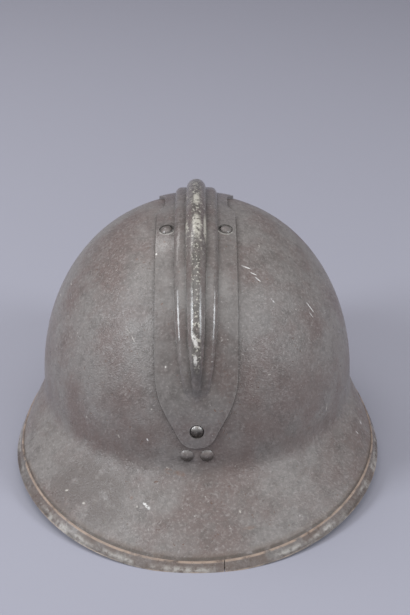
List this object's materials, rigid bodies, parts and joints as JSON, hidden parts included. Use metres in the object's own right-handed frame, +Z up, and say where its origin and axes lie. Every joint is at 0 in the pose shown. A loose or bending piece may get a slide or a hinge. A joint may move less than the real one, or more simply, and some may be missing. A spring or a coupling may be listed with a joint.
{
  "type": "crested steel helmet",
  "caption": "Crested steel helmet: domed bowl with a brim all round, a riveted comb over the crown, a leather liner inside and a chin strap on rings.",
  "frame": {"origin": "on the table, under the middle of the overall box", "axes": "+Z up, -Y towards the visor and the comb's front; +X is right as seen from the front, and left and right in names are meant that way"},
  "size_m": [0.2268, 0.2946, 0.1608],
  "materials": {
    "painted_steel": "matt, worn",
    "painted_band": "matt, rusty edges",
    "painted_comb": "satin, worn bright on its ridge",
    "bare_rivet": "rubbed bright",
    "painted_rivet": "matt",
    "liner_leather": "worn smooth",
    "felt": "coarse",
    "spacer_sheet": "dull",
    "lug_steel": "matt",
    "dark_steel": "blackened",
    "strap_leather": "worn",
    "rivet_steel": "dull"
  },
  "bodies": {
    "helmet": {"shell": "painted_steel", "rim_band": "painted_band", "comb": "painted_comb", "comb_front_rivet": "bare_rivet", "comb_rear_rivet": "painted_rivet", "comb_side_rivets": "painted_rivet", "visor_rivets": "painted_rivet", "liner_leather": "liner_leather", "felt_band": "felt", "spacer_front_right": "spacer_sheet", "spacer_rear_right": "spacer_sheet", "spacer_rear_left": "spacer_sheet", "spacer_front_left": "spacer_sheet", "liner_lug_front": "lug_steel", "liner_lug_rear": "lug_steel", "liner_lug_right": "lug_steel", "liner_lug_left": "lug_steel", "ring_bracket_right": "dark_steel", "ring_bracket_left": "dark_steel"},
    "left_ring": {"ring_left": "dark_steel"},
    "right_ring": {"ring_right": "dark_steel"},
    "strap": {"chinstrap": "strap_leather", "strap_rivets": "rivet_steel"},
    "slide": {"slide_buckle": "dark_steel"}
  },
  "joints": [
    {"name": "chinstrap_swing", "type": "hinge", "parent": "helmet", "child": "strap", "pos_m": [0, 0.00757, 0.02421], "axis": [1, 0, 0], "range_deg": [0, 150]},
    {"name": "ring_left_flap", "type": "hinge", "parent": "helmet", "child": "left_ring", "pos_m": [-0.0946, 0.00757, 0.03221], "axis": [0, 1, 0], "range_deg": [-4, 4]},
    {"name": "ring_right_flap", "type": "hinge", "parent": "helmet", "child": "right_ring", "pos_m": [0.0946, 0.00757, 0.03221], "axis": [0, 1, 0], "range_deg": [-4, 4]},
    {"name": "buckle_slide", "type": "slide", "parent": "strap", "child": "slide", "axis": [-0.3098, -0.9363, -0.1651], "range_m": [-0.009, 0.009]}
  ]
}
